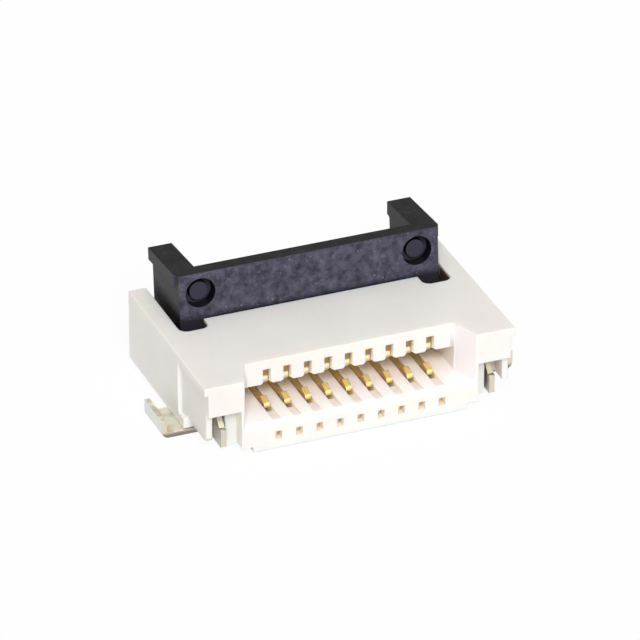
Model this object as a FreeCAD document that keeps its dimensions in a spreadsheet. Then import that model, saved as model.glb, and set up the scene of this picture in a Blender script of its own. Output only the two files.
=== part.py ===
"""Board connector for a flat film cable: nine contacts at 0.5 mm, with a lever at the rear that flips up.

Frame, in millimetres: X runs along the row of contacts, -Y is the mouth where the film goes in,
+Z is up from the board. The origin is on the board, under the middle of the housing.
"""
import FreeCAD, Part
import os
import Sketcher

SIZES = {
    # Row of contacts and outside of the housing
    "positions": 9,
    "pitch": 0.5,
    "end_margin": 1.79,
    "housing_depth": 4.90,
    "housing_height": 1.90,
    "side_lift": 0.15,
    "base_margin": 0.62,
    "slab_thickness": 0.20,
    "slot_roof": 0.25,
    # Mouth and the space for the film
    "film_margin": 0.57,
    "mouth_flare": 0.26,
    "mouth_depth": 0.74,
    "mouth_round": 0.12,
    "floor_height": 0.70,
    "floor_chamfer_run": 0.14,
    "floor_chamfer_drop": 0.10,
    "lip_height": 0.62,
    "film_gap": 0.44,
    "lead_in_run": 0.45,
    "film_stop_setback": 2.29,
    # Sides and the two front pockets
    "side_inset": 0.095,
    "step_setback": 1.71,
    "rail_setback": 1.365,
    "rail_top": 0.40,
    "skirt_bottom": 0.50,
    "skirt_thickness": 0.15,
    "skirt_setback": 0.17,
    "pocket_margin": 0.90,
    "pocket_ceiling": 1.13,
    "pocket_depth": 0.33,
    "finger_room": 0.11,
    "finger_room_depth": 0.65,
    # Rear of the housing
    "side_wall": 0.44,
    "recess_setback": 2.63,
    "recess_round": 0.20,
    "well_end": 4.35,
    "well_slope_start": 3.85,
    "well_low": 0.55,
    # Slots and holes that hold the contacts
    "slot_width": 0.19,
    "slot_floor": 0.23,
    "tooth_round": 0.08,
    "groove_depth": 0.12,
    "groove_setback": 0.02,
    "hole_width": 0.16,
    "hole_height": 0.21,
    # Contacts, stamped from one sheet
    "contact_thickness": 0.15,
    "contact_tip_setback": 0.22,
    "contact_arm": 0.18,
    "beam_gap": 0.08,
    "beam_setback": 0.74,
    "beam_tip_gap": 0.04,
    "crown_rise": 0.14,
    "upper_arm_low": 1.42,
    "upper_arm_top": 1.62,
    "upper_setback": 0.14,
    "upper_nose_low": 1.26,
    "upper_point": 1.15,
    "web_front": 0.12,
    "web_rear": 0.12,
    "lower_arm_top": 0.62,
    "hook_thickness": 0.15,
    "tail_thickness": 0.16,
    "tail_overhang": 0.30,
    "stamp_round": 0.03,
    # Hinge
    "pivot_setback": 3.52,
    "pivot_depth": 0.45,
    "roof_gap": 0.02,
    "running_gap": 0.01,
    "journal_radius": 0.15,
    "journal_gap": 0.02,
    "journal_length": 0.30,
    "bearing_end_gap": 0.04,
    "cam_long": 0.14,
    "cam_short": 0.10,
    "cam_round": 0.09,
    # Lever
    "lever_lean": 4.3,
    "lever_reach": 1.55,
    "lever_side_gap": 0.145,
    "plate_thickness": 0.39,
    "plate_root": 0.50,
    "rib_front_height": 0.12,
    "hub_radius": 0.20,
    "hub_gap": 0.03,
    "block_width": 0.53,
    "block_gap": 0.03,
    "block_depth": 1.81,
    "grip_depth": 0.12,
    "grip_height": 0.315,
    "grip_slope": 0.065,
    "side_lip": 0.06,
    "side_lip_setback": 0.12,
    "window_width": 0.24,
    "window_gap": 0.02,
    "dimple_diameter": 0.71,
    "dimple_depth": 0.28,
    "dimple_inset": 0.535,
    "dimple_height": 1.04,
    "button_diameter": 0.46,
    "button_height": 0.15,
    "lever_round": 0.02,
    # Hold-downs, each folded from one sheet
    "sheet_thickness": 0.135,
    "sheet_gap": 0.01,
    "web_inset": 0.50,
    "finger_setback": 0.15,
    "finger_bottom": 0.21,
    "finger_top": 0.68,
    "finger_nose": 0.08,
    "web_top": 0.94,
    "foot_setback": 1.35,
    "foot_length": 1.12,
    "foot_reach": 0.54,
    "flange_top": 0.45,
    "bend_inner": 0.05,
}

# A cut that leaves the solid runs past it by this much.
PAST = 0.3

doc = FreeCAD.newDocument("film_connector")
sheet = doc.addObject("Spreadsheet::Sheet", "sizes")
for row, (alias, size) in enumerate(SIZES.items(), start=1):
    sheet.set(f"A{row}", alias)
    sheet.set(f"B{row}", str(size))
    sheet.setAlias(f"B{row}", alias)
doc.recompute()

# Places worked out from the sizes, as expressions that the features keep.
HALF_ROW = "((sizes.positions - 1) * sizes.pitch / 2)"
HALF_WIDTH = f"({HALF_ROW} + sizes.end_margin)"
FRONT = "(-sizes.housing_depth / 2)"
REAR = "(sizes.housing_depth / 2)"
TOP = "sizes.housing_height"
SLAB_UNDERSIDE = f"({TOP} - sizes.slab_thickness)"
SLOT_TOP = f"({TOP} - sizes.slot_roof)"
BASE_HALF = f"({HALF_ROW} + sizes.base_margin)"
FILM_HALF = f"({HALF_ROW} + sizes.film_margin)"
MOUTH_HALF = f"({FILM_HALF} + sizes.mouth_flare)"
LIP = f"({FRONT} + sizes.mouth_depth)"
LIP_UNDERSIDE = f"({TOP} - sizes.lip_height)"
FLOOR = "sizes.floor_height"
CAVITY_TOP = f"({FLOOR} + sizes.film_gap)"
FILM_STOP = f"({FRONT} + sizes.film_stop_setback)"
INSET_FACE = f"({HALF_WIDTH} - sizes.side_inset)"
SKIRT_INNER = f"({INSET_FACE} - sizes.skirt_thickness)"
POCKET_INNER = f"({HALF_ROW} + sizes.pocket_margin)"
WALL_INNER = f"({HALF_WIDTH} - sizes.side_wall)"

PIVOT_Y = f"({FRONT} + sizes.pivot_setback)"
PIVOT_Z = f"({TOP} - sizes.pivot_depth)"
ROOF_REAR = f"({PIVOT_Y} - sizes.pivot_depth - sizes.roof_gap)"
WELL_TOP = f"({PIVOT_Z} - sizes.hub_radius - sizes.hub_gap)"
WELL_END = f"({FRONT} + sizes.well_end)"
CAM_CLEAR = "(sizes.cam_long + sizes.running_gap)"
HOOK_REACH = f"({CAM_CLEAR} + sizes.running_gap + 0.4 * sizes.hook_thickness)"

LEVER_HALF = f"({WALL_INNER} - sizes.lever_side_gap)"
BLOCK_INNER = f"({LEVER_HALF} - sizes.block_width)"
WELL_HALF = f"({BLOCK_INNER} - sizes.block_gap)"

WEB_X = f"({HALF_WIDTH} - sizes.web_inset)"
FOOT_FRONT = f"({FRONT} + sizes.foot_setback)"
FOOT_REAR = f"({FOOT_FRONT} + sizes.foot_length)"


def value(expression):
    """The number that an expression gives with the present sizes."""
    return float(sheet.evalExpression(str(expression)))


def add_body(label):
    """An empty body with its own label."""
    body = doc.addObject("PartDesign::Body", label)
    body.Label = label
    return body


def origin_feature(body, role):
    """One of the body's own planes or axes."""
    return next(item for item in body.Origin.OriginFeatures if item.Role == role)


def new_sketch(body, name, plane, offset):
    """A sketch on one of the body's planes, moved along that plane's normal."""
    sketch = body.newObject("Sketcher::SketchObject", name)
    sketch.AttachmentSupport = [(origin_feature(body, plane), "")]
    sketch.MapMode = "FlatFace"
    sketch.setExpression("AttachmentOffset.Base.z", str(offset))
    return sketch


def constrain(sketch, rules):
    """Adds all the constraints at once, then binds those that carry an expression."""
    numbers = sketch.addConstraint([rule for rule, expression in rules])
    for number, (rule, expression) in zip(numbers, rules):
        if expression is not None:
            sketch.setExpression(f"Constraints[{number}]", str(expression))


def hold_point(item, end, across, up):
    """Constraints that hold a point at two expressions, measured from the sketch's origin."""
    return [
        (Sketcher.Constraint("DistanceX", -1, 1, item, end, value(across)), across),
        (Sketcher.Constraint("DistanceY", -1, 1, item, end, value(up)), up),
    ]


def round_off(before, corner, after, radius):
    """The arc that rounds a corner, from the edge before it to the edge after it."""
    back = (before - corner).normalize()
    ahead = (after - corner).normalize()
    bisector = (back + ahead).normalize()
    reach = radius / back.cross(bisector).Length
    start = corner + back * reach * back.dot(bisector)
    end = corner + ahead * reach * back.dot(bisector)
    middle_point = corner + bisector * (reach - radius)
    return start, end, Part.Arc(start, middle_point, end)


def outline(body, name, plane, corners, offset=0):
    """A closed outline. Each corner is two expressions, and a third where it is rounded."""
    sketch = new_sketch(body, name, plane, offset)
    points = [FreeCAD.Vector(value(corner[0]), value(corner[1]), 0) for corner in corners]
    count = len(points)
    arrive, leave, arcs = list(points), list(points), {}
    for i, corner in enumerate(corners):
        if len(corner) == 3:
            after = points[(i + 1) % count]
            arrive[i], leave[i], arcs[i] = round_off(points[i - 1], points[i], after, value(corner[2]))
    lines = [Part.LineSegment(leave[i], arrive[(i + 1) % count]) for i in range(count)]
    edges = sketch.addGeometry(lines, False)
    rules = []
    for i, corner in enumerate(corners):
        before, after = edges[i - 1], edges[i]
        if i in arcs:
            rules += round_rules(sketch, before, after, arcs[i], corner, arrive[i])
        else:
            rules.append((Sketcher.Constraint("Coincident", before, 2, after, 1), None))
            rules += hold_point(after, 1, corner[0], corner[1])
    constrain(sketch, rules)
    return sketch


def round_rules(sketch, before, after, arc, corner, arrival):
    """Constraints that join two edges by a tangent arc, while their sharp corner keeps its place."""
    sharp = sketch.addGeometry(Part.Point(FreeCAD.Vector(value(corner[0]), value(corner[1]), 0)), True)
    curve = sketch.addGeometry(arc, False)
    near_start = sketch.getPoint(curve, 1).distanceToPoint(arrival)
    near_end = sketch.getPoint(curve, 2).distanceToPoint(arrival)
    first, last = (1, 2) if near_start < near_end else (2, 1)
    return hold_point(sharp, 1, corner[0], corner[1]) + [
        (Sketcher.Constraint("PointOnObject", sharp, 1, before), None),
        (Sketcher.Constraint("PointOnObject", sharp, 1, after), None),
        (Sketcher.Constraint("Tangent", before, 2, curve, first), None),
        (Sketcher.Constraint("Tangent", after, 1, curve, last), None),
        (Sketcher.Constraint("Radius", curve, value(corner[2])), corner[2]),
    ]


def disc(body, name, plane, across, up, radius, offset=0):
    """A full circle."""
    sketch = new_sketch(body, name, plane, offset)
    centre = FreeCAD.Vector(value(across), value(up), 0)
    circle = sketch.addGeometry(Part.Circle(centre, FreeCAD.Vector(0, 0, 1), value(radius)), False)
    size = (Sketcher.Constraint("Radius", circle, value(radius)), radius)
    constrain(sketch, hold_point(circle, 3, across, up) + [size])
    return sketch


def extrude(kind, body, sketch, length):
    """A pad or pocket that grows evenly to both sides of its sketch."""
    feature = body.newObject(f"PartDesign::{kind}", f"{sketch.Name}_{kind.lower()}")
    feature.Profile = sketch
    feature.SideType = "Symmetric"
    feature.setExpression("Length", str(length))
    return feature


def pad(body, sketch, length):
    return extrude("Pad", body, sketch, length)


def pocket(body, sketch, length):
    return extrude("Pocket", body, sketch, length)


def middle(low, high):
    """Where the sketch lies for an extrusion from low to high."""
    return f"(({low}) + ({high})) / 2"


def length(low, high):
    """How long that extrusion is."""
    return f"(({high}) - ({low}))"


def rectangle(left, right, low, high):
    """Four corners, as expressions."""
    return [(left, low), (right, low), (right, high), (left, high)]


def mirror(body, name, features):
    """The same features on the other side of the middle plane."""
    mirrored = body.newObject("PartDesign::Mirrored", name)
    mirrored.Originals = features
    mirrored.MirrorPlane = (origin_feature(body, "YZ_Plane"), [""])
    body.Tip = mirrored
    return mirrored


def along_row(body, name, features):
    """The same features at every contact position."""
    pattern = body.newObject("PartDesign::LinearPattern", name)
    pattern.Originals = features
    pattern.Direction = (origin_feature(body, "X_Axis"), [""])
    pattern.setExpression("Length", f"2 * {HALF_ROW}")
    pattern.setExpression("Occurrences", "sizes.positions")
    body.Tip = pattern
    return pattern


def make_housing():
    """The moulded housing: front blocks, mouth, film space, slots, side walls and bearings."""
    body = add_body("housing")
    pad(body, outline(body, "front_view", "XZ_Plane", [
        (f"-{HALF_WIDTH}", "sizes.side_lift"),
        (f"-{BASE_HALF}", "sizes.side_lift"),
        (f"-{BASE_HALF}", 0),
        (BASE_HALF, 0),
        (BASE_HALF, "sizes.side_lift"),
        (HALF_WIDTH, "sizes.side_lift"),
        (HALF_WIDTH, TOP),
        (f"-{HALF_WIDTH}", TOP),
    ]), "sizes.housing_depth")
    cut_rear(body)
    cut_mouth(body)
    sides = cut_side(body) + cut_front_pocket(body) + cut_seats(body)
    mirror(body, "both_sides", sides)
    first = f"-{HALF_ROW}"
    slot = pocket(body, outline(body, "contact_slot", "YZ_Plane", slot_corners(), first), "sizes.slot_width")
    hole = pocket(body, outline(body, "tip_hole", "YZ_Plane", rectangle(
        f"{FRONT} - {PAST}", f"{LIP}", "sizes.slot_floor", "sizes.slot_floor + sizes.hole_height",
    ), first), "sizes.hole_width")
    along_row(body, "slot_row", [slot, hole, round_teeth(body, first)])
    return body


def cut_rear(body):
    """Opens the rear between the side walls, down to a sloped seat under the lever."""
    slope_start = f"({FRONT} + sizes.well_slope_start)"
    corners = [
        (ROOF_REAR, f"{TOP} + {PAST}"),
        (ROOF_REAR, WELL_TOP),
        (slope_start, WELL_TOP),
        (WELL_END, "sizes.well_low"),
        (WELL_END, -PAST),
        (f"{REAR} + {PAST}", -PAST),
        (f"{REAR} + {PAST}", f"{TOP} + {PAST}"),
    ]
    pocket(body, outline(body, "rear_well", "YZ_Plane", corners), f"2 * {WELL_HALF}")


def cut_mouth(body):
    """Cuts the flared mouth in the roof, the film space behind it and the bevel of the floor."""
    front = f"{FRONT} - {PAST}"
    inside_mouth = f"{LIP} - {PAST}"
    pocket(body, outline(body, "film_space", "YZ_Plane", [
        (inside_mouth, FLOOR),
        (FILM_STOP, FLOOR),
        (FILM_STOP, CAVITY_TOP),
        (f"{LIP} + sizes.lead_in_run", CAVITY_TOP),
        (LIP, LIP_UNDERSIDE),
        (inside_mouth, LIP_UNDERSIDE),
    ]), f"2 * {FILM_HALF}")
    past_flare = f"sizes.mouth_flare * (1 + {PAST} / sizes.mouth_depth)"
    wide = f"({FILM_HALF} + {past_flare})"
    pocket(body, outline(body, "mouth", "XY_Plane", [
        (f"-{wide}", front),
        (wide, front),
        (FILM_HALF, LIP, "sizes.mouth_round"),
        (f"-{FILM_HALF}", LIP, "sizes.mouth_round"),
    ], middle(FLOOR, f"{TOP} + {PAST}")), length(FLOOR, f"{TOP} + {PAST}"))
    pocket(body, outline(body, "floor_bevel", "YZ_Plane", [
        (FRONT, f"{FLOOR} - sizes.floor_chamfer_drop"),
        (f"{FRONT} + sizes.floor_chamfer_run", FLOOR),
        (FRONT, FLOOR),
    ]), f"2 * {MOUTH_HALF}")


def cut_side(body):
    """Sets the front half of the side back under the roof slab and lifts its lower edge."""
    front = f"{FRONT} - {PAST}"
    step = f"{FRONT} + sizes.step_setback"
    rail = f"{FRONT} + sizes.rail_setback"
    outside = f"{HALF_WIDTH} + {PAST}"
    inset = pocket(body, outline(body, "side_step", "YZ_Plane", [
        (front, SLAB_UNDERSIDE),
        (step, SLAB_UNDERSIDE),
        (step, "sizes.rail_top"),
        (rail, "sizes.rail_top"),
        (rail, -PAST),
        (front, -PAST),
    ], middle(INSET_FACE, outside)), length(INSET_FACE, outside))
    lift = pocket(body, outline(body, "skirt_edge", "YZ_Plane", rectangle(
        front, rail, -PAST, "sizes.skirt_bottom",
    ), middle(SKIRT_INNER, outside)), length(SKIRT_INNER, outside))
    face = pocket(body, outline(body, "skirt_face", "YZ_Plane", rectangle(
        front, f"{FRONT} + sizes.skirt_setback", -PAST, "sizes.pocket_ceiling",
    ), middle(SKIRT_INNER, outside)), length(SKIRT_INNER, outside))
    return [inset, lift, face]


def cut_front_pocket(body):
    """Hollows the front block from below: shallow beside the tray, deeper round the hold-down's finger."""
    front = f"{FRONT} - {PAST}"
    room_inner = f"({WEB_X} - sizes.finger_room)"
    shallow = pocket(body, outline(body, "front_pocket", "YZ_Plane", rectangle(
        front, f"{FRONT} + sizes.pocket_depth", -PAST, "sizes.pocket_ceiling",
    ), middle(POCKET_INNER, SKIRT_INNER)), length(POCKET_INNER, SKIRT_INNER))
    deep = pocket(body, outline(body, "finger_room", "YZ_Plane", rectangle(
        front, f"{FRONT} + sizes.finger_room_depth", -PAST, "sizes.pocket_ceiling",
    ), middle(room_inner, SKIRT_INNER)), length(room_inner, SKIRT_INNER))
    return [shallow, deep]


def cut_seats(body):
    """Cuts the recess for the lever's end block, its bearing, and the slot for the hold-down."""
    recess = pocket(body, outline(body, "end_recess", "XY_Plane", [
        (WELL_HALF, f"{FRONT} + sizes.recess_setback", "sizes.recess_round"),
        (WALL_INNER, f"{FRONT} + sizes.recess_setback", "sizes.recess_round"),
        (WALL_INNER, f"{REAR} + {PAST}"),
        (WELL_HALF, f"{REAR} + {PAST}"),
    ], middle(-PAST, f"{TOP} + {PAST}")), length(-PAST, f"{TOP} + {PAST}"))
    journal_end = f"({LEVER_HALF} + sizes.journal_length + sizes.bearing_end_gap)"
    bearing = pocket(body, disc(
        body, "bearing", "YZ_Plane", PIVOT_Y, PIVOT_Z, "sizes.journal_radius + sizes.journal_gap",
        middle(BLOCK_INNER, journal_end),
    ), length(BLOCK_INNER, journal_end))
    half_slot = "(sizes.sheet_thickness / 2 + sizes.sheet_gap)"
    sheet_slot = pocket(body, outline(body, "sheet_slot", "YZ_Plane", rectangle(
        f"{FRONT} + sizes.finger_room_depth - {PAST}", f"{FOOT_REAR} + 2 * sizes.sheet_gap",
        -PAST, "sizes.web_top + 2 * sizes.sheet_gap",
    ), WEB_X), f"2 * {half_slot}")
    bend_clear = f"({WEB_X} + {half_slot} + sizes.bend_inner)"
    relief = pocket(body, outline(body, "bend_relief", "YZ_Plane", rectangle(
        f"{FOOT_FRONT} - 2 * sizes.sheet_gap", f"{FOOT_REAR} + 2 * sizes.sheet_gap",
        -PAST, "sizes.side_lift + sizes.bend_inner + sizes.sheet_gap",
    ), middle(WEB_X, bend_clear)), length(WEB_X, bend_clear))
    return [recess, bearing, sheet_slot, relief]


def slot_corners():
    """The side view of one contact's slot, with the groove that fades out towards the mouth."""
    beam_end = f"({FRONT} + sizes.beam_setback)"
    return [
        (f"{LIP} - {PAST}", SLOT_TOP),
        (f"{REAR} + {PAST}", SLOT_TOP),
        (f"{REAR} + {PAST}", "sizes.slot_floor"),
        (f"{beam_end} - sizes.beam_tip_gap", "sizes.slot_floor"),
        (f"{beam_end} - sizes.beam_tip_gap", f"{FLOOR} - sizes.groove_depth"),
        (f"{FRONT} + sizes.groove_setback", FLOOR),
        (f"{LIP} - {PAST}", f"{FLOOR} + {PAST} / 10"),
    ]


def round_teeth(body, across):
    """Rounds the lower corners of the teeth beside one slot, down the slope that leads the film in."""
    half, wide = "sizes.slot_width / 2", "(sizes.slot_width / 2 + 1.5 * sizes.tooth_round)"
    low, high = f"{LIP_UNDERSIDE} - sizes.tooth_round", f"{LIP_UNDERSIDE} + 1.5 * sizes.tooth_round"
    flare = pocket(body, outline(body, "tooth_corners", "XZ_Plane", [
        (f"{across} - {wide}", low),
        (f"{across} + {wide}", low),
        (f"{across} + {wide}", LIP_UNDERSIDE),
        (f"{across} + {half}", LIP_UNDERSIDE, "sizes.tooth_round"),
        (f"{across} + {half}", high),
        (f"{across} - {half}", high),
        (f"{across} - {half}", LIP_UNDERSIDE, "sizes.tooth_round"),
        (f"{across} - {wide}", LIP_UNDERSIDE),
    ], f"-{LIP}"), "2 * sizes.lead_in_run")
    flare.UseCustomVector = True
    flare.AlongSketchNormal = True
    flare.Direction = FreeCAD.Vector(0, 1, 0)
    flare.setExpression("Direction.z", f"-({LIP_UNDERSIDE} - {CAVITY_TOP}) / sizes.lead_in_run")
    return flare


def contact_corners():
    """The stamped outline of one contact, seen from the side."""
    fixed_tip = f"({FRONT} + sizes.contact_tip_setback)"
    fixed_top = "(sizes.slot_floor + sizes.contact_arm)"
    beam_low = f"({fixed_top} + sizes.beam_gap)"
    beam_top = f"({FLOOR} - 2 * sizes.running_gap)"
    beam_tip = f"({FRONT} + sizes.beam_setback)"
    crown = f"({FLOOR} + sizes.crown_rise)"
    web_front = f"({FILM_STOP} + sizes.web_front / 3)"
    web_rear = f"({web_front} + sizes.web_front + sizes.web_rear)"
    upper_tip = f"({LIP} + sizes.upper_setback)"
    under_cam = f"({PIVOT_Z} - {CAM_CLEAR})"
    over_cam = f"({PIVOT_Z} + {CAM_CLEAR})"
    tail_start = f"({WELL_END} + 0.04)"
    tail_end = f"({REAR} + sizes.tail_overhang)"
    r = "sizes.stamp_round"
    return [
        # Fixed arm, whose tip shows in the hole of the front face
        (fixed_tip, "sizes.slot_floor"),
        (fixed_tip, fixed_top),
        (f"{web_front} - 0.10", fixed_top, r),
        # Lower spring beam with its crown
        (f"{web_front} - 0.10", beam_low, r),
        (f"{beam_tip} + 0.40", beam_low),
        (beam_tip, f"{FLOOR} - 0.05"),
        (beam_tip, f"{FLOOR} + 0.02", r),
        (f"{beam_tip} + 0.04", f"{FLOOR} + 0.06", r),
        (f"{beam_tip} + 0.26", crown, r),
        (f"{beam_tip} + 0.48", beam_top, r),
        (web_front, beam_top, r),
        # Upper beam with its nose
        (web_front, "sizes.upper_arm_low", r),
        (f"{upper_tip} + 0.58", "sizes.upper_arm_low", r),
        (f"{upper_tip} + 0.34", "sizes.upper_point", r),
        (f"{upper_tip} + 0.16", "sizes.upper_point", r),
        (upper_tip, "sizes.upper_nose_low", r),
        (upper_tip, "sizes.upper_arm_top", r),
        # Rear arm, which hooks over the cam
        (f"{ROOF_REAR} - 0.04", "sizes.upper_arm_top"),
        (f"{PIVOT_Y} - 0.20", f"{over_cam} + sizes.hook_thickness"),
        (f"{PIVOT_Y} + {HOOK_REACH}", f"{over_cam} + sizes.hook_thickness", r),
        (f"{PIVOT_Y} + {HOOK_REACH}", f"{PIVOT_Z} + 0.4 * sizes.cam_long"),
        (f"{PIVOT_Y} + {CAM_CLEAR} + sizes.running_gap", f"{PIVOT_Z} + 0.4 * sizes.cam_long"),
        (f"{PIVOT_Y} + {CAM_CLEAR} + sizes.running_gap", over_cam),
        (f"{PIVOT_Y} - 0.22", over_cam),
        (f"{ROOF_REAR} - 0.08", "sizes.upper_arm_low"),
        (web_rear, "sizes.upper_arm_low", r),
        # Lower rear arm, the seat under the cam and the solder tail
        (web_rear, "sizes.lower_arm_top", r),
        (f"{ROOF_REAR} + 0.02", "sizes.lower_arm_top"),
        (f"{PIVOT_Y} - 0.23", under_cam),
        (f"{PIVOT_Y} + 0.25", under_cam),
        (f"{WELL_END} - 0.28", "sizes.well_low + 0.17"),
        (f"{tail_start} + 0.04", "sizes.well_low - 0.05"),
        (f"{tail_start} + 0.24", "sizes.tail_thickness", r),
        (tail_end, "sizes.tail_thickness"),
        (tail_end, 0),
        (tail_start, 0, r),
        (tail_start, "sizes.slot_floor"),
    ]


def make_contact():
    """The first contact of the row, stamped from sheet and seated on the floor of its slot."""
    body = add_body("contact_1")
    side_view = outline(body, "stamping", "YZ_Plane", contact_corners(), f"-{HALF_ROW}")
    pad(body, side_view, "sizes.contact_thickness")
    return body


def repeat_contact(first, number):
    """The same contact again, further along the row."""
    body = add_body(f"contact_{number}")
    body.newObject("PartDesign::FeatureBase", f"stamping_{number}").BaseFeature = first
    body.setExpression("Placement.Base.x", f"{number - 1} * sizes.pitch")
    return body


def make_lever():
    """The lever, drawn upright about its own pivot and then leaned back to where it rests open."""
    body = add_body("lever")
    face = "(-sizes.pivot_depth)"
    reach = "sizes.lever_reach"
    plate_back = f"({face} + sizes.plate_thickness)"
    root_back = f"({face} + sizes.plate_root)"
    pad(body, outline(body, "plate", "YZ_Plane", [
        (face, reach, "sizes.lever_round"),
        (plate_back, reach, "sizes.lever_round"),
        (root_back, "0.3 * sizes.lever_reach"),
        ("sizes.hub_radius", 0),
        ("-sizes.hub_radius", 0),
        (face, "sizes.rib_front_height"),
    ]), f"2 * {LEVER_HALF}")
    pad(body, disc(body, "hub", "YZ_Plane", 0, 0, "sizes.hub_radius"), f"2 * {LEVER_HALF}")
    window = cut_window(body)
    along_row(body, "window_row", [window])
    pad(body, outline(body, "cam", "YZ_Plane", [
        ("-sizes.cam_long", "-sizes.cam_short", "sizes.cam_round"),
        ("sizes.cam_long", "-sizes.cam_short", "sizes.cam_round"),
        ("sizes.cam_long", "sizes.cam_short", "sizes.cam_round"),
        ("-sizes.cam_long", "sizes.cam_short", "sizes.cam_round"),
    ]), f"2 * {HALF_ROW} + 2 * sizes.window_width")
    mirror(body, "both_ends", add_end(body))
    body.Placement = FreeCAD.Placement(
        FreeCAD.Vector(0, value(PIVOT_Y), value(PIVOT_Z)),
        FreeCAD.Rotation(FreeCAD.Vector(-1, 0, 0), value("sizes.lever_lean")),
    )
    body.setExpression("Placement.Base.y", PIVOT_Y)
    body.setExpression("Placement.Base.z", PIVOT_Z)
    body.setExpression("Placement.Rotation.Angle", "sizes.lever_lean")
    return body


def cut_window(body):
    """The window in the plate's root through which a contact's hook reaches over the cam."""
    hook_corner = f"sqrt({HOOK_REACH}^2 + ({CAM_CLEAR} + sizes.hook_thickness)^2)"
    return pocket(body, outline(body, "window", "YZ_Plane", rectangle(
        f"-sizes.pivot_depth - {PAST}", f"sizes.hub_radius + {PAST}",
        f"-sizes.hub_radius - {PAST}", f"{hook_corner} + sizes.window_gap",
    ), f"-{HALF_ROW}"), "sizes.window_width")


def add_end(body):
    """One end of the lever: the block with its grip, side lip and foot, the journal and the dimple."""
    face = "(-sizes.pivot_depth)"
    back = f"({face} + sizes.block_depth)"
    below_grip = f"({back} - sizes.grip_depth)"
    reach = "sizes.lever_reach"
    grip_low = f"({reach} - sizes.grip_height)"
    foot = "sizes.pivot_depth"
    block = pad(body, outline(body, "block", "YZ_Plane", [
        (face, reach, "sizes.lever_round"),
        (back, reach, "sizes.lever_round"),
        (back, grip_low, "sizes.lever_round"),
        (below_grip, f"{grip_low} - sizes.grip_slope"),
        (below_grip, f"-0.6 * {foot}"),
        (f"{below_grip} - 0.4 * {foot}", f"-{foot}"),
        (0, f"-{foot}"),
        (face, 0),
    ], middle(BLOCK_INNER, LEVER_HALF)), length(BLOCK_INNER, LEVER_HALF))
    round_foot = pad(body, disc(
        body, "foot", "YZ_Plane", 0, 0, foot, middle(BLOCK_INNER, LEVER_HALF),
    ), length(BLOCK_INNER, LEVER_HALF))
    lip_edge = f"({LEVER_HALF} + sizes.side_lip)"
    lip = pad(body, outline(body, "lip", "YZ_Plane", rectangle(
        f"{face} + sizes.side_lip_setback", back, grip_low, reach,
    ), middle(BLOCK_INNER, lip_edge)), length(BLOCK_INNER, lip_edge))
    journal_end = f"({LEVER_HALF} + sizes.journal_length)"
    journal = pad(body, disc(
        body, "journal", "YZ_Plane", 0, 0, "sizes.journal_radius", middle(BLOCK_INNER, journal_end),
    ), length(BLOCK_INNER, journal_end))
    across = f"({LEVER_HALF} - sizes.dimple_inset)"
    dimple = pocket(body, disc(
        body, "dimple", "XZ_Plane", across, "sizes.dimple_height", "sizes.dimple_diameter / 2", "sizes.pivot_depth",
    ), "2 * sizes.dimple_depth")
    button_front = "(sizes.pivot_depth - sizes.dimple_depth + sizes.button_height)"
    button_root = "(sizes.pivot_depth - sizes.dimple_depth - sizes.button_height / 2)"
    button = pad(body, disc(
        body, "button", "XZ_Plane", across, "sizes.dimple_height", "sizes.button_diameter / 2",
        middle(button_root, button_front),
    ), length(button_root, button_front))
    return [block, round_foot, lip, journal, dimple, button]


def make_hold_down(label, side):
    """One hold-down: a foot on the board, an upright flange outside and a web inside the housing."""
    body = add_body(label)
    half_sheet = "sizes.sheet_thickness / 2"
    web_in, web_out = f"({WEB_X} - {half_sheet})", f"({WEB_X} + {half_sheet})"
    flange_out = f"({HALF_WIDTH} + sizes.foot_reach)"
    flange_in = f"({flange_out} - sizes.sheet_thickness)"
    outer_bend = "(sizes.bend_inner + sizes.sheet_thickness)"
    folded = [
        (web_in, "sizes.web_top"),
        (web_in, 0, outer_bend),
        (flange_out, 0, outer_bend),
        (flange_out, "sizes.flange_top"),
        (flange_in, "sizes.flange_top"),
        (flange_in, "sizes.sheet_thickness", "sizes.bend_inner"),
        (web_out, "sizes.sheet_thickness", "sizes.bend_inner"),
        (web_out, "sizes.web_top"),
    ]
    corners = [(f"{side} * {corner[0]}",) + corner[1:] for corner in folded]
    foot_middle = f"-({middle(FOOT_FRONT, FOOT_REAR)})"
    pad(body, outline(body, f"{label}_fold", "XZ_Plane", corners, foot_middle), "sizes.foot_length")
    finger_tip = f"({FRONT} + sizes.finger_setback)"
    finger = [
        (finger_tip, "sizes.finger_bottom", "sizes.stamp_round"),
        (FOOT_REAR, "sizes.finger_bottom"),
        (FOOT_REAR, "sizes.web_top"),
        (f"{finger_tip} + sizes.finger_nose + sizes.web_top - sizes.finger_top", "sizes.web_top"),
        (f"{finger_tip} + sizes.finger_nose", "sizes.finger_top"),
        (finger_tip, "sizes.finger_top", "sizes.stamp_round"),
    ]
    pad(body, outline(body, f"{label}_finger", "YZ_Plane", finger, f"{side} * {WEB_X}"), "sizes.sheet_thickness")
    return body


def check(parts):
    """Stops if a feature failed or a part is not one valid solid."""
    for item in doc.Objects:
        if "Invalid" in item.State or "Error" in item.State:
            raise RuntimeError(f"{item.Label} failed: {item.State}")
    for part in parts:
        if part.Shape.isNull() or not part.Shape.isValid() or len(part.Shape.Solids) != 1:
            raise RuntimeError(f"{part.Label} is not one valid solid")


contact = make_contact()
parts = [make_housing(), make_lever(), contact]
parts += [repeat_contact(contact, number) for number in range(2, int(value("sizes.positions")) + 1)]
parts += [make_hold_down("hold_down_left", -1), make_hold_down("hold_down_right", 1)]
doc.recompute()
check(parts)

os.makedirs("parts", exist_ok=True)
for part in parts:
    part.Shape.exportStep(f"parts/{part.Label}.step")
    print(part.Label, round(part.Shape.Volume, 4), "mm3")
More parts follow.
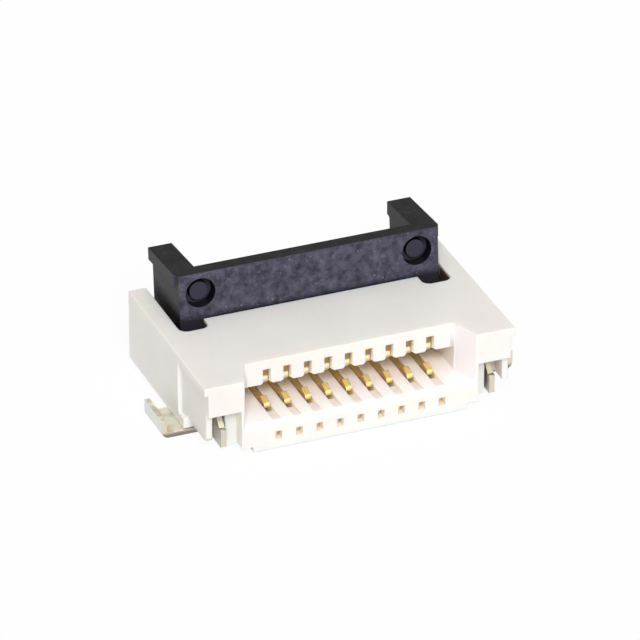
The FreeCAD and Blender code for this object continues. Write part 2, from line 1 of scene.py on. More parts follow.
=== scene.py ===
# %% [markdown]
# # A board connector for a flat film cable
#
# The connector is smaller than a fingernail: a pale moulded housing with nine gold contacts at half a
# millimetre, a black lever that stands open at the rear, and two tinned hold-downs. Its pieces arrive as
# exact solids, already in place. What is left for this notebook is what a maker would call the finish:
# soft moulded edges, the look of each plastic and metal, and plain studio light.
#
# Everything is in metres, so a millimetre is 0.001 and most numbers here are small.

# %% Load the connector
import math

import bmesh
import bpy
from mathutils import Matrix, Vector
from mathutils.bvhtree import BVHTree


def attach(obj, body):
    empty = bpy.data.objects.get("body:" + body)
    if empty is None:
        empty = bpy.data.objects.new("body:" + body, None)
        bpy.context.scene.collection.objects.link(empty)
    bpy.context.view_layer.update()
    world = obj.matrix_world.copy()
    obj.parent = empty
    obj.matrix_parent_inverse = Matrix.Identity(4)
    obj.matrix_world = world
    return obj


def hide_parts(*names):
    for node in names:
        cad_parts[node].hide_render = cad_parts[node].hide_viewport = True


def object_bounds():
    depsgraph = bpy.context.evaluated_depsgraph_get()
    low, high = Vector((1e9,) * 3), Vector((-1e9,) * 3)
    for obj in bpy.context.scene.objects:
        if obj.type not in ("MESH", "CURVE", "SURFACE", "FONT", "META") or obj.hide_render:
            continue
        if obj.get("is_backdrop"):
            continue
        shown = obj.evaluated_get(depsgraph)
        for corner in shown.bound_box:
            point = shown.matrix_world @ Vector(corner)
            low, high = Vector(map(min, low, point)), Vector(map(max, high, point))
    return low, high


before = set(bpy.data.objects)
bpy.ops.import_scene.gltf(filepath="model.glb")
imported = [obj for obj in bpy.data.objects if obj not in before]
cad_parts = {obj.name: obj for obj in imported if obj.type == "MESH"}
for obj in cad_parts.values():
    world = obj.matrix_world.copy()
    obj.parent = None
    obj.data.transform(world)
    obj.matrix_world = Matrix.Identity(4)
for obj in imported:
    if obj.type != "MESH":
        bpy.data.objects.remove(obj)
cad_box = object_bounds()
MM = 0.001

# %% [markdown]
# ## A camera for a very small object
#
# A part this size is photographed from far away through a long lens, which keeps its edges almost
# parallel. So the camera stands 146 mm off, more than fifteen times the connector's width, and its lens is
# long enough to fill the same share of the frame. Azimuth and elevation say where it stands, and two small
# shifts slide it sideways and up without turning it. The housing stands 0.15 mm off the board, and the
# camera is lifted by as much.

# %% Camera
VIEW_AZIMUTH = math.radians(-21.944)
VIEW_ELEVATION = math.radians(29.509)
VIEW_DISTANCE = 146.327 * MM
VIEW_SIDE = -0.020 * MM
VIEW_RISE = 1.275 * MM
BOARD_LIFT = 0.15 * MM
NEAREST, FARTHEST = 10 * MM, 2000 * MM
SENSOR = 36.0
FOCAL_PIXELS = 6359.0
FRAME_PIXELS = 640

back = Vector((
    math.sin(VIEW_AZIMUTH) * math.cos(VIEW_ELEVATION),
    -math.cos(VIEW_AZIMUTH) * math.cos(VIEW_ELEVATION),
    math.sin(VIEW_ELEVATION),
))
right = Vector((0, 0, 1)).cross(back).normalized()
up = back.cross(right)

bpy.ops.object.select_all(action="DESELECT")
bpy.ops.object.camera_add()
camera = bpy.context.object
camera.name = "camera"
camera.location = back * VIEW_DISTANCE + right * VIEW_SIDE + up * VIEW_RISE + Vector((0, 0, BOARD_LIFT))
camera.rotation_mode = "QUATERNION"
camera.rotation_quaternion = (-back).to_track_quat("-Z", "Y")
camera.data.sensor_width = SENSOR
camera.data.lens = FOCAL_PIXELS / FRAME_PIXELS * SENSOR
camera.data.clip_start = NEAREST
camera.data.clip_end = FARTHEST
bpy.context.scene.camera = camera
print("lens in mm:", round(camera.data.lens, 1))

# %% [markdown]
# ## Helpers for materials
#
# Each finish is a short chain of nodes: coordinates, a pattern, a ramp that turns the pattern into a
# colour or a roughness, and the shader. The coordinates are the object's own, in metres, so a pattern
# keeps its real size and stays on the surface when the lever turns. At this scale a grain of a hundredth
# of a millimetre needs a pattern scale in the tens of thousands.
#
# A node's output is a socket, and a socket knows the tree of nodes that it belongs to, as its id_data. So
# each helper takes the sockets that it builds on and gives one back, and none has to be told the material.

# %% A material and its nodes
def new_material(name, metallic=0.0):
    """A material with one principled shader, which is returned with it."""
    material = bpy.data.materials.new(name)
    material.use_nodes = True
    shader = material.node_tree.nodes["Principled BSDF"]
    shader.inputs["Metallic"].default_value = metallic
    return material, shader


def add_node(tree, kind, **values):
    """A node with its settings and sockets filled in by name."""
    node = tree.nodes.new(kind)
    for key, value in values.items():
        if key in node.inputs:
            node.inputs[key].default_value = value
        else:
            setattr(node, key, value)
    return node


def join(source, target):
    """A link from an output socket to an input socket."""
    source.id_data.links.new(source, target)


def coordinates(material):
    """Where a point lies and which way its face looks, in the object's own frame, as two sockets."""
    node = add_node(material.node_tree, "ShaderNodeTexCoord")
    return node.outputs["Object"], node.outputs["Normal"]

# %% Patterns, colours and relief
# Several sockets of the mix node share a name, so those for colours go by number
MIX_FACTOR, MIX_FIRST, MIX_SECOND, MIX_RESULT = 0, 6, 7, 2
# Most of a noise lies between these two
PATTERN_DARK, PATTERN_LIGHT = 0.3, 0.7


def noise(point, per_mm, detail=2.0, roughness=0.5):
    """A noise whose lumps are about one over per_mm millimetres wide."""
    node = add_node(
        point.id_data, "ShaderNodeTexNoise", Scale=per_mm / MM, Detail=detail, Roughness=roughness,
    )
    join(point, node.inputs["Vector"])
    return node.outputs["Fac"]


def ramp(source, *stops):
    """A colour ramp from pairs of a position and a colour, where a single number is a grey."""
    node = add_node(source.id_data, "ShaderNodeValToRGB")
    elements = node.color_ramp.elements
    while len(elements) < len(stops):
        elements.new(1.0)
    for element, (position, color) in zip(elements, stops):
        element.position = position
        element.color = (*color, 1) if isinstance(color, tuple) else (color, color, color, 1)
    join(source, node.inputs["Fac"])
    return node.outputs["Color"]


def mix_colors(factor, first, second):
    """The second colour over the first by the factor; each colour is a socket or plain numbers."""
    node = add_node(factor.id_data, "ShaderNodeMix", data_type="RGBA")
    join(factor, node.inputs[MIX_FACTOR])
    for source, slot in ((first, node.inputs[MIX_FIRST]), (second, node.inputs[MIX_SECOND])):
        if isinstance(source, tuple):
            slot.default_value = (*source, 1)
        else:
            join(source, slot)
    return node.outputs[MIX_RESULT]


def vary_roughness(shader, pattern, least, most):
    """A roughness that follows a pattern, least in its dark parts and most in its light ones."""
    levels = ramp(pattern, (PATTERN_DARK, least), (PATTERN_LIGHT, most))
    join(levels, shader.inputs["Roughness"])


def relieve(shader, pattern, depth_mm):
    """Fine relief that follows a pattern, given as its real depth."""
    node = add_node(pattern.id_data, "ShaderNodeBump", Distance=depth_mm * MM)
    join(pattern, node.inputs["Height"])
    join(node.outputs["Normal"], shader.inputs["Normal"])

# %% [markdown]
# ## Masks
#
# One moulding can look different from place to place. A mask says where a look applies: it is 1 there, 0
# elsewhere, and has a soft step between. It could be painted, but then every piece would first have to be
# unwrapped. Here a mask is worked out from where a point lies and which way its face looks, so it needs no
# unwrapping and goes by the real sizes of the piece. A pair of limits says where the mask is 0 and where it
# is 1, as a length in metres or, for the way a face looks, as a cosine.

# %% Masks by place and by direction
RIGHTWARD, LEFTWARD = (1, 0, 0), (-1, 0, 0)
INWARD, AHEAD = (0, 1, 0), (0, -1, 0)
UPWARD = (0, 0, 1)
# How squarely a face looks in a direction
LOOSELY = (0.60, 0.90)
SQUARELY = (0.70, 0.92)
CLOSELY = (0.97, 0.99)


def reach(vector, direction):
    """How far a vector goes along a direction."""
    node = add_node(vector.id_data, "ShaderNodeVectorMath", operation="DOT_PRODUCT")
    join(vector, node.inputs[0])
    node.inputs[1].default_value = direction
    return node.outputs["Value"]


def share(value, limits):
    """A value as a share between two limits, held at 0 and 1 outside them."""
    node = add_node(value.id_data, "ShaderNodeMapRange")
    node.inputs["From Min"].default_value, node.inputs["From Max"].default_value = limits
    join(value, node.inputs["Value"])
    return node.outputs["Result"]


def along_line(point, direction, limits):
    """A mask by how far a point lies along a direction."""
    return share(reach(point, direction), limits)


def facing(normal, direction, limits):
    """A mask by how much a face looks in a direction."""
    none, full = limits
    return ramp(reach(normal, direction), (none, 0.0), (full, 1.0))

# %% Masks on both sides, and masks together
def mirrored(point):
    """The point with its signs dropped, which treats left and right alike, and front and rear too."""
    node = add_node(point.id_data, "ShaderNodeVectorMath", operation="ABSOLUTE")
    join(point, node.inputs[0])
    return node.outputs["Vector"]


def around(point, centre, limits):
    """A mask by the distance from a place, given by lengths above zero, and from its mirror images."""
    node = add_node(point.id_data, "ShaderNodeVectorMath", operation="DISTANCE")
    join(mirrored(point), node.inputs[0])
    node.inputs[1].default_value = centre
    return share(node.outputs["Value"], limits)


def all_of(mask, *others):
    """Masks multiplied, so that the result is 1 only where all of them are."""
    for other in others:
        node = add_node(mask.id_data, "ShaderNodeMath", operation="MULTIPLY")
        join(mask, node.inputs[0])
        join(other, node.inputs[1])
        mask = node.outputs["Value"]
    return mask

# %% [markdown]
# ## The housing's plastic
#
# The housing is moulded from a filled plastic that stays flat in the solder oven. It is off-white, slightly
# warm, dull rather than glossy, and light goes a little way into it, which is why its slots look pinkish
# brown and not grey. A very slow cloud of colour and a faint flow grain keep it from looking like paint.

# %% Housing plastic
CLOUD_DARK = (0.805, 0.774, 0.727)
CLOUD_LIGHT = (0.835, 0.812, 0.772)
LIGHT_INSIDE = 0.55
LIGHT_DEPTH = 0.35 * MM
LIGHT_DEPTH_BY_COLOR = (1.0, 0.55, 0.35)
housing_plastic, shader = new_material("housing_plastic")
point, normal = coordinates(housing_plastic)
cloud = noise(point, per_mm=0.7, detail=3.0)
tint = ramp(cloud, (PATTERN_DARK, CLOUD_DARK), (PATTERN_LIGHT, CLOUD_LIGHT))
grain = noise(point, per_mm=45.0, detail=4.0, roughness=0.6)
vary_roughness(shader, grain, least=0.48, most=0.62)
relieve(shader, grain, depth_mm=0.0016)
shader.inputs["Subsurface Weight"].default_value = LIGHT_INSIDE
shader.inputs["Subsurface Scale"].default_value = LIGHT_DEPTH
shader.inputs["Subsurface Radius"].default_value = LIGHT_DEPTH_BY_COLOR
print("plain tint, nodes:", len(housing_plastic.node_tree.nodes))

# %% [markdown]
# ### The tray under the mouth
#
# The tray is painted paler than the roof, for the light that reaches it through the plastic: painted light
# makes it nearly white at the lip, and painted shade makes it pinkish further in and a little deeper in the
# grooves between its ribs. It is told apart from the rest by its height and because it looks up.

# %% Tray colours
# Painted light and shade on the tray: white at the lip, shaded pink further in and in the grooves
TRAY_LIT_WHITE = (0.960, 0.925, 0.900)
TRAY_SHADED_PINK = (0.970, 0.845, 0.815)
TRAY_DEEP_SHADE = (0.980, 0.815, 0.690)
GROOVE_SHADE_PINK = (0.905, 0.810, 0.790)
WHITE_TO_PINK = (-2.10 * MM, -1.45 * MM)
PINK_TO_DEEP = (-1.45 * MM, -0.90 * MM)
BELOW_RIBS = (0.68 * MM, 0.64 * MM)
BEHIND_LIP = (-2.34 * MM, -2.26 * MM)
BELOW_MOUTH = (0.95 * MM, 0.85 * MM)
ABOVE_FOOT = (0.52 * MM, 0.56 * MM)
tray = mix_colors(along_line(point, INWARD, WHITE_TO_PINK), TRAY_LIT_WHITE, TRAY_SHADED_PINK)
tray = mix_colors(along_line(point, INWARD, PINK_TO_DEEP), tray, TRAY_DEEP_SHADE)
in_groove = all_of(along_line(point, UPWARD, BELOW_RIBS), along_line(point, INWARD, BEHIND_LIP))
tray = mix_colors(in_groove, tray, GROOVE_SHADE_PINK)
on_tray = all_of(
    facing(normal, UPWARD, LOOSELY),
    along_line(point, UPWARD, BELOW_MOUTH),
    along_line(point, UPWARD, ABOVE_FOOT),
)
print("with the tray, nodes:", len(housing_plastic.node_tree.nodes))

# %% [markdown]
# ### Slots, flared sides and gaps
#
# The walls of the contacts' slots and holes are painted warmer and lighter, as painted light reflected from
# the gold beside them, and the flared sides of the mouth are painted the coolest white, as painted light.
# The slots are told apart by place, and what looks ahead between them keeps the plain tint. A flare is told
# apart by the way it looks. The narrow gap at each end of the lever lies in its shade, painted deep brown.

# %% Slot, flare and gap colours
# Painted light: slot walls warmed and lightened as by light from the gold beside them
SLOT_PAINTED_WARM_LIGHT = (0.985, 0.860, 0.745)
AMONG_CONTACTS = (2.32 * MM, 2.28 * MM)
BEHIND_FRONT = (-2.435 * MM, -2.42 * MM)
BELOW_SLOT_TOP = (1.68 * MM, 1.66 * MM)
# Painted light: the flared sides of the mouth are painted a cool white
FLARE_PAINTED_LIGHT = (0.885, 0.850, 0.870)
FLARE_ASIDE, FLARE_AHEAD = 0.943, 0.331
# Painted shade: the narrow gaps beside the lever's ends are painted deep brown
GAP_SHADE_BROWN = (0.075, 0.050, 0.028)
GAP_CENTRE = (2.92 * MM, 0.45 * MM, 1.60 * MM)
GAP_EDGE = (0.80 * MM, 0.62 * MM)
BELOW_ROOF = (1.88 * MM, 1.80 * MM)
in_slot = all_of(
    along_line(mirrored(point), RIGHTWARD, AMONG_CONTACTS),
    along_line(point, INWARD, BEHIND_FRONT),
    along_line(point, UPWARD, BELOW_SLOT_TOP),
)
finish = mix_colors(in_slot, tint, SLOT_PAINTED_WARM_LIGHT)
finish = mix_colors(facing(normal, AHEAD, LOOSELY), finish, tint)
for side in (1, -1):
    on_flare = facing(normal, (side * FLARE_ASIDE, -FLARE_AHEAD, 0), CLOSELY)
    finish = mix_colors(on_flare, finish, FLARE_PAINTED_LIGHT)
# The tray's painted light and shade go over the rest
finish = mix_colors(on_tray, finish, tray)
in_gap = all_of(around(point, GAP_CENTRE, GAP_EDGE), along_line(point, UPWARD, BELOW_ROOF))
finish = mix_colors(in_gap, finish, GAP_SHADE_BROWN)
join(finish, shader.inputs["Base Color"])
print("material:", housing_plastic.name)

# %% [markdown]
# ## The lever's plastic
#
# The lever is black and glass filled. Its fibres come up to the surface of the front face, which is not one
# black but a mottled, bluish grey with small lighter specks. The mottle is a noise at several sizes, and
# the specks are the middles of some of the cells of a cell pattern. In the recess of the front face, and
# down at the roof, painted shade takes it to black. The heights and depths go by the lever's own frame, in
# which the front face leans 4.3 degrees to the rear.

# %% Lever's front face
LEAN = math.radians(4.3)
LEVER_FRONT = (0, -math.cos(LEAN), math.sin(LEAN))
LEVER_TOP = (0, math.sin(LEAN), math.cos(LEAN))
HINGE = Vector((0, 1.07 * MM, 1.45 * MM))
PLATE_AHEAD = 0.44 * MM
PLATE_FACE = Vector(LEVER_FRONT).dot(HINGE) + PLATE_AHEAD
MOTTLE_DARK, MOTTLE_LIGHT = 0.36, 0.66
FRONT_DARK = (0.032, 0.031, 0.047)
FRONT_LIGHT = (0.106, 0.100, 0.145)
CELLS_PER_MM = 9.0
CELL_BARE, CELL_SPECKED = 0.42, 0.55
SPECK_FULL, SPECK_GONE = 0.08, 0.22
SPECK_GREY = (0.210, 0.205, 0.245)
# Painted shade: black in the recess of the front face and down at the roof
RECESS_SHADE_BLACK = (0.040, 0.038, 0.058)
ROOT_SHADE_BLACK = (0.024, 0.021, 0.028)
OUT_OF_RECESS = (PLATE_FACE - 0.12 * MM, PLATE_FACE)
CLEAR_OF_ROOT = (1.86 * MM, 2.02 * MM)
lever_plastic, shader = new_material("lever_plastic")
point, normal = coordinates(lever_plastic)
mottle = noise(point, per_mm=4.5, detail=7.0, roughness=0.72)
front = ramp(mottle, (MOTTLE_DARK, FRONT_DARK), (MOTTLE_LIGHT, FRONT_LIGHT))
cells = add_node(lever_plastic.node_tree, "ShaderNodeTexVoronoi", Scale=CELLS_PER_MM / MM)
join(point, cells.inputs["Vector"])
near_middle = ramp(cells.outputs["Distance"], (SPECK_FULL, 1.0), (SPECK_GONE, 0.0))
some_cells = ramp(cells.outputs["Color"], (CELL_BARE, 0.0), (CELL_SPECKED, 1.0))
front = mix_colors(all_of(near_middle, some_cells), front, SPECK_GREY)
front = mix_colors(along_line(point, LEVER_FRONT, OUT_OF_RECESS), RECESS_SHADE_BLACK, front)
front = mix_colors(along_line(point, UPWARD, CLEAR_OF_ROOT), ROOT_SHADE_BLACK, front)
print("lever's front, nodes:", len(lever_plastic.node_tree.nodes))

# %% [markdown]
# ### The plainer faces of the lever
#
# The ends of the lever are plainer than its front, and painted shade darkens them where they go down
# between the walls. Its top edge carries the darkest painted shade, and so do the walls of the two dimples.
# So the finish goes by the way a face looks in the lever's own frame.

# %% Lever's other faces and its gloss
PLAIN_DARK = (0.040, 0.040, 0.041)
PLAIN_LIGHT = (0.070, 0.070, 0.072)
# Painted shade: black low between the walls, in the dimples, and on the top edge
WALL_SHADE_BLACK = (0.006, 0.005, 0.006)
DIMPLE_SHADE_BLACK = (0.004, 0.003, 0.008)
TOP_SHADE_BLACK = (0.010, 0.010, 0.011)
CLEAR_OF_WALL = (1.98 * MM, 2.30 * MM)
DIMPLE = (2.67 * MM, 0.84 * MM, 2.51 * MM)
DIMPLE_EDGE = (0.44 * MM, 0.40 * MM)
ABOVE_DIMPLE_FLOOR = (PLATE_FACE - 0.34 * MM, PLATE_FACE - 0.30 * MM)
SHEEN = 0.08
plain = ramp(mottle, (MOTTLE_DARK, PLAIN_DARK), (MOTTLE_LIGHT, PLAIN_LIGHT))
plain = mix_colors(along_line(point, UPWARD, CLEAR_OF_WALL), WALL_SHADE_BLACK, plain)
in_dimple = all_of(
    around(point, DIMPLE, DIMPLE_EDGE),
    along_line(point, LEVER_FRONT, ABOVE_DIMPLE_FLOOR),
)
plain = mix_colors(in_dimple, plain, DIMPLE_SHADE_BLACK)
finish = mix_colors(facing(normal, LEVER_FRONT, SQUARELY), plain, front)
finish = mix_colors(facing(normal, LEVER_TOP, SQUARELY), finish, TOP_SHADE_BLACK)
join(finish, shader.inputs["Base Color"])
vary_roughness(shader, mottle, least=0.42, most=0.66)
shader.inputs["Specular IOR Level"].default_value = SHEEN
relieve(shader, mottle, depth_mm=0.012)
print("material:", lever_plastic.name)

# %% [markdown]
# ## Gold on the contacts
#
# The contacts are stamped from spring bronze and plated with gold, which is bright on the stamped edges
# that touch the film. The flat sides of the sheet mirror the shaded slots and are painted brown, as painted
# shade. A stamped edge is drawn out into fine lines along the sheet, so the roughness follows a noise
# stretched along the contact's length. The nose of the upper beam has a painted highlight in one narrow
# band, and painted shade in brown above it. The end that shows in the front holes is painted a paler and
# duller gold, as painted shade.

# %% Contact gold
NOSE_LOW = 1.26 * MM
NOSE_HIGH = 1.65 * MM
ON_NOSE = (NOSE_LOW - 0.05 * MM, NOSE_LOW)
AT_TIP = (-2.05 * MM, -2.15 * MM)
# Painted highlight and painted shade on the nose, from its underside upwards, as shares of its height
NOSE_HIGHLIGHT_AND_SHADE = (
    (0.02, (0.62, 0.46, 0.22)),
    (0.14, (0.88, 0.74, 0.46)),
    (0.25, (1.00, 0.91, 0.68)),
    (0.35, (1.00, 0.91, 0.68)),
    (0.45, (0.40, 0.25, 0.09)),
)
LINES_DEEP, LINES_BRIGHT = 0.35, 0.65
EDGE_DEEP = (0.98, 0.73, 0.27)
EDGE_BRIGHT = (1.00, 0.84, 0.41)
# Painted shade: brown on the flat sides, which mirror the shaded slots
SIDE_SHADE_GOLD = (0.58, 0.38, 0.16)
# Painted shade: a duller gold on the end that shows in the front holes
TIP_SHADE_GOLD = (0.84, 0.72, 0.48)
LINE_STRETCH = (1.0, 0.18, 1.0)
contact_gold, shader = new_material("contact_gold", metallic=1.0)
point, normal = coordinates(contact_gold)
stretched = add_node(contact_gold.node_tree, "ShaderNodeMapping", Scale=LINE_STRETCH)
join(point, stretched.inputs["Vector"])
lines = noise(stretched.outputs["Vector"], per_mm=40.0, detail=3.0)
edge = ramp(lines, (LINES_DEEP, EDGE_DEEP), (LINES_BRIGHT, EDGE_BRIGHT))
nose = ramp(along_line(point, UPWARD, (NOSE_LOW, NOSE_HIGH)), *NOSE_HIGHLIGHT_AND_SHADE)
finish = mix_colors(along_line(point, UPWARD, ON_NOSE), edge, nose)
finish = mix_colors(along_line(point, INWARD, AT_TIP), finish, TIP_SHADE_GOLD)
for direction in (RIGHTWARD, LEFTWARD):
    finish = mix_colors(facing(normal, direction, SQUARELY), finish, SIDE_SHADE_GOLD)
join(finish, shader.inputs["Base Color"])
vary_roughness(shader, lines, least=0.42, most=0.58)
relieve(shader, lines, depth_mm=0.0012)
print("material:", contact_gold.name)

# %% [markdown]
# ## Tin on the hold-downs
#
# The hold-downs are folded from the same bronze and plated with matte tin. Tin grows in soft patches, so
# its colour and roughness drift slowly. Light and shade are painted on by the way a face looks: a cool grey
# on the upright sides, painted shade on the front fingers, olive where it lies flat, and a painted cream
# highlight on the edges that look ahead. The front edge beside the board is painted dark, as painted shade.

# %% Hold-down tin
PATCHES_DARK, PATCHES_PALE = 0.38, 0.62
OLIVE_DARK = (0.66, 0.60, 0.42)
OLIVE_PALE = (0.98, 0.95, 0.82)
# Painted light and shade: tones that go by the way a face looks
SIDE_LIGHT_AND_SHADE_GREY = (0.68, 0.70, 0.67)
FINGER_SHADE_GREY = (0.47, 0.45, 0.39)
AHEAD_LIT_CREAM = (0.75, 0.68, 0.55)
# Painted shade on the front edge beside the board
LOW_EDGE_SHADE = (0.26, 0.23, 0.19)
ON_FINGER = (-1.40 * MM, -1.60 * MM)
OFF_BOARD = (0.07 * MM, 0.16 * MM)
hold_down_tin, shader = new_material("hold_down_tin", metallic=1.0)
point, normal = coordinates(hold_down_tin)
patches = noise(point, per_mm=2.5, detail=3.0)
finish = ramp(patches, (PATCHES_DARK, OLIVE_DARK), (PATCHES_PALE, OLIVE_PALE))
side_light_and_shade = mix_colors(along_line(point, INWARD, ON_FINGER), SIDE_LIGHT_AND_SHADE_GREY, FINGER_SHADE_GREY)
for direction in (LEFTWARD, RIGHTWARD):
    finish = mix_colors(facing(normal, direction, LOOSELY), finish, side_light_and_shade)
front_edge_light_and_shade = mix_colors(along_line(point, UPWARD, OFF_BOARD), LOW_EDGE_SHADE, AHEAD_LIT_CREAM)
finish = mix_colors(facing(normal, AHEAD, LOOSELY), finish, front_edge_light_and_shade)
join(finish, shader.inputs["Base Color"])
vary_roughness(shader, patches, least=0.26, most=0.42)
relieve(shader, patches, depth_mm=0.002)
print("material:", hold_down_tin.name)

# %% [markdown]
# ## Soft edges
#
# No moulded or stamped edge is perfectly sharp, and it is the thin bright line along an edge that tells
# the eye how small and how crisp a part is. An exact solid comes as loose triangles, so each piece is
# copied and its doubled points are merged. Then a narrow bevel will round every edge that is sharper than
# the steps of a curve. Edges shorter than the bevel is wide are left alone, because there it would throw
# points far out.

# %% A merged copy with its edges marked
SAME_PLACE = 0.001 * MM
SHARP_OVER = math.radians(32)


def merged_copy(solid, name, width):
    """The solid's mesh with its points merged, and a weight on each edge that is to be rounded."""
    shape = bmesh.new()
    shape.from_mesh(solid)
    bmesh.ops.remove_doubles(shape, verts=shape.verts, dist=SAME_PLACE / 2)
    rounded = shape.edges.layers.float.new("bevel_weight_edge")
    for edge in shape.edges:
        sharp = edge.calc_face_angle(0) > SHARP_OVER
        edge[rounded] = float(sharp and edge.calc_length() > width)
    mesh = bpy.data.meshes.new(name)
    shape.to_mesh(mesh)
    shape.free()
    return mesh

# %% [markdown]
# ### Points that went astray
#
# Where several edges meet, a bevel can still throw a point outside the solid, and a moulding can't be
# larger than its mould. Such a point is put back on the nearest face. Only the rounding of an inner corner
# stands off the solid, by less than half the bevel's width, and it is left as it is.

# %% Keep a mesh close to its solid
INNER_ROUND = 0.45


def keep_close(mesh, solid, surface, allowance):
    """Points that the bevel threw past the solid's box or its faces are put back on them."""
    for axis in range(3):
        low = min(vertex.co[axis] for vertex in solid.vertices)
        high = max(vertex.co[axis] for vertex in solid.vertices)
        for vertex in mesh.vertices:
            vertex.co[axis] = min(max(vertex.co[axis], low), high)
    for vertex in mesh.vertices:
        nearest, direction, _, distance = surface.find_nearest(vertex.co)
        if distance > allowance and direction.dot(vertex.co - nearest) > 0:
            vertex.co = nearest

# %% [markdown]
# ### Flat faces that look flat
#
# Smooth shading bends the light a little over every face that touches a rounded edge, so a wide flat face
# would look dented. Here wide flat faces keep their own direction, and light bends only across the bevel.
# Triangles of the solid count as one face where their normals and their distances from the origin agree.

# %% Shading of the wide faces
SMOOTH_UNDER = math.radians(50)
SAME_WAY = 0.9995
PLANE_DIGITS = 2
WIDE_MM2 = 0.03


def wide_faces(solid):
    """For each triangle of the solid, whether the flat face that it belongs to is a wide one."""
    def plane(triangle):
        offset = triangle.normal.dot(triangle.center) / MM
        return tuple(round(part, PLANE_DIGITS) for part in (*triangle.normal, offset))

    areas = {}
    for triangle in solid.polygons:
        areas[plane(triangle)] = areas.get(plane(triangle), 0) + triangle.area
    return [areas[plane(triangle)] >= WIDE_MM2 * MM ** 2 for triangle in solid.polygons]


def settle_shading(mesh, surface, wide):
    """Wide flat faces keep their own direction, and what touches them bends away from it."""
    flat = {}
    touching = {}
    for polygon in mesh.polygons:
        _, direction, index, distance = surface.find_nearest(polygon.center)
        if wide[index] and distance < SAME_PLACE and direction.dot(polygon.normal) > SAME_WAY:
            flat[polygon.index] = direction
            for vertex in polygon.vertices:
                touching.setdefault(vertex, []).append(direction)
    directions = [corner.vector.copy() for corner in mesh.corner_normals]
    for polygon in mesh.polygons:
        for corner, vertex in zip(polygon.loop_indices, polygon.vertices):
            if polygon.index in flat:
                directions[corner] = flat[polygon.index]
            elif vertex in touching:
                closest = max(touching[vertex], key=polygon.normal.dot)
                if closest.dot(polygon.normal) > math.cos(SMOOTH_UNDER):
                    directions[corner] = closest
    mesh.normals_split_custom_set(directions)

# %% [markdown]
# ## The finished pieces
#
# Each finished copy stands in for its solid, in the same place, with the solid's name and one word more.
# The mouldings have the widest rounding, since a mould's cutter leaves a radius. The stamped contacts and
# the thin folded hold-downs have less. Two segments are enough for edges that are a pixel wide.

# %% A copy with rounded edges
EDGE_SEGMENTS = 2


def select_only(thing):
    bpy.ops.object.select_all(action="DESELECT")
    thing.select_set(True)
    bpy.context.view_layer.objects.active = thing


def rounded_copy(node_name, width, material, body):
    """A finished piece in place of a solid: the same shape, with every edge a little rounded."""
    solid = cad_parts[node_name].data
    mesh = merged_copy(solid, node_name + "_finished", width)
    piece = bpy.data.objects.new(mesh.name, mesh)
    bpy.context.scene.collection.objects.link(piece)
    select_only(piece)
    bevel = piece.modifiers.new("edge", "BEVEL")
    bevel.width = width
    bevel.segments = EDGE_SEGMENTS
    bevel.limit_method = "WEIGHT"
    bevel.use_clamp_overlap = False
    bevel.loop_slide = False
    bpy.ops.object.modifier_apply(modifier=bevel.name)
    surface = BVHTree.FromPolygons(
        [vertex.co for vertex in solid.vertices],
        [tuple(triangle.vertices) for triangle in solid.polygons],
    )
    keep_close(piece.data, solid, surface, INNER_ROUND * width)
    bpy.ops.object.shade_smooth_by_angle(angle=SMOOTH_UNDER)
    settle_shading(piece.data, surface, wide_faces(solid))
    piece.data.materials.append(material)
    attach(piece, body)
    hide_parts(node_name)
    print(piece.name, len(piece.data.polygons), "faces")

# %% Finish the pieces
MOULDED_EDGE = 0.018 * MM
STAMPED_EDGE = 0.016 * MM
FOLDED_EDGE = 0.012 * MM
rounded_copy("housing", MOULDED_EDGE, housing_plastic, "base")
rounded_copy("lever", MOULDED_EDGE, lever_plastic, "lever")
for name in sorted(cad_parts):
    if name.startswith("contact_"):
        rounded_copy(name, STAMPED_EDGE, contact_gold, "base")
    if name.startswith("hold_down_"):
        rounded_copy(name, FOLDED_EDGE, hold_down_tin, "base")

# %% [markdown]
# ## Floor and light
#
# A product shot on white needs a floor that reads as paper but still takes a soft shadow. The floor's
# material shows the camera, and whatever mirrors it, mostly plain white, with some of its lit surface mixed
# in for the shadow. The light is a broad key from the front left, above the lens, and an even surround,
# which is plain white too where it is seen.

# %% What is seen and what only gives light
def seen(tree):
    """1 where the camera looks, also by way of a mirror or a glass, and 0 for light on its way."""
    rays = add_node(tree, "ShaderNodeLightPath")
    result = rays.outputs["Is Camera Ray"]
    for kind in ("Is Glossy Ray", "Is Transmission Ray"):
        either = add_node(tree, "ShaderNodeMath", operation="MAXIMUM")
        join(result, either.inputs[0])
        join(rays.outputs[kind], either.inputs[1])
        result = either.outputs["Value"]
    return result

# %% Floor
FLOOR_SIDE = 900 * MM
FLOOR_DROP = 0.002 * MM
PAPER_COLOR = (0.90, 0.90, 0.90, 1)
PAPER_ROUGHNESS = 0.9
WHITE = (1, 1, 1, 1)
WHITE_SHARE = 0.92

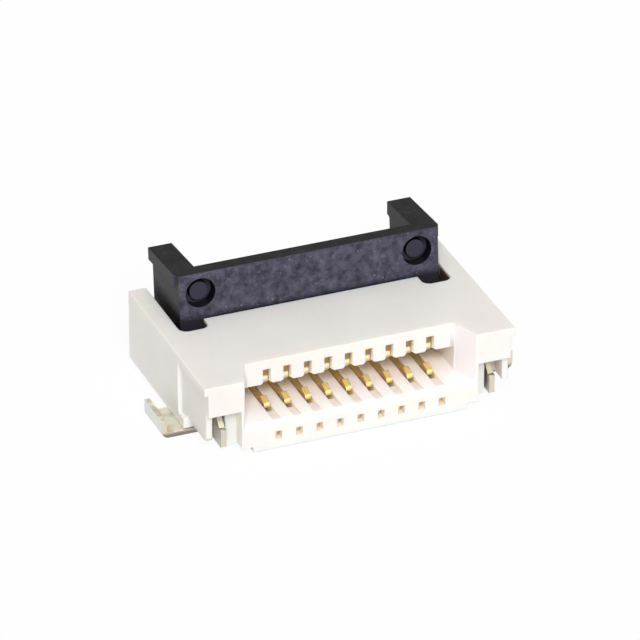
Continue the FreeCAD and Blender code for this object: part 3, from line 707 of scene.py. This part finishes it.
bpy.ops.object.select_all(action="DESELECT")
bpy.ops.mesh.primitive_plane_add(size=FLOOR_SIDE, location=(0, 0, -FLOOR_DROP))
floor = bpy.context.object
floor.name = "floor"
paper, shader = new_material("paper")
shader.inputs["Base Color"].default_value = PAPER_COLOR
shader.inputs["Roughness"].default_value = PAPER_ROUGHNESS
shader.inputs["Specular IOR Level"].default_value = 0.0
tree = paper.node_tree
glow = add_node(tree, "ShaderNodeEmission", Color=WHITE, Strength=1.0)
whiten = add_node(tree, "ShaderNodeMath", operation="MULTIPLY")
join(seen(tree), whiten.inputs[0])
whiten.inputs[1].default_value = WHITE_SHARE
mixed = add_node(tree, "ShaderNodeMixShader")
join(whiten.outputs["Value"], mixed.inputs[0])
join(shader.outputs["BSDF"], mixed.inputs[1])
join(glow.outputs["Emission"], mixed.inputs[2])
join(mixed.outputs["Shader"], tree.nodes["Material Output"].inputs["Surface"])
floor.data.materials.append(paper)
floor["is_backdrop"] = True
print("floor:", FLOOR_SIDE / MM, "mm wide")

# %% Light
SURROUND = 0.48
KEY_FROM = Vector((-0.18, -0.57, 0.52))
KEY_STRENGTH = 2.4
KEY_SPREAD = math.radians(25)

world = bpy.data.worlds.new("surround")
bpy.context.scene.world = world
world.use_nodes = True
tree = world.node_tree
background = tree.nodes["Background"]
background.inputs["Color"].default_value = WHITE
level = add_node(tree, "ShaderNodeMapRange")
level.inputs["To Min"].default_value = SURROUND
level.inputs["To Max"].default_value = 1.0
join(seen(tree), level.inputs["Value"])
join(level.outputs["Result"], background.inputs["Strength"])

bpy.ops.object.select_all(action="DESELECT")
bpy.ops.object.light_add(type="SUN")
key = bpy.context.object
key.name = "key"
key.rotation_mode = "QUATERNION"
key.rotation_quaternion = KEY_FROM.to_track_quat("Z", "Y")
key.data.energy = KEY_STRENGTH
key.data.angle = KEY_SPREAD
bpy.context.scene.view_settings.view_transform = "Standard"
print("key light:", KEY_STRENGTH, "surround:", SURROUND)

# %% Measure and finish
shown_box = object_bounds()
for name, (low, high) in (("cad", cad_box), ("visual", shown_box)):
    print(name, [round(side / MM, 3) for side in high - low], "mm")
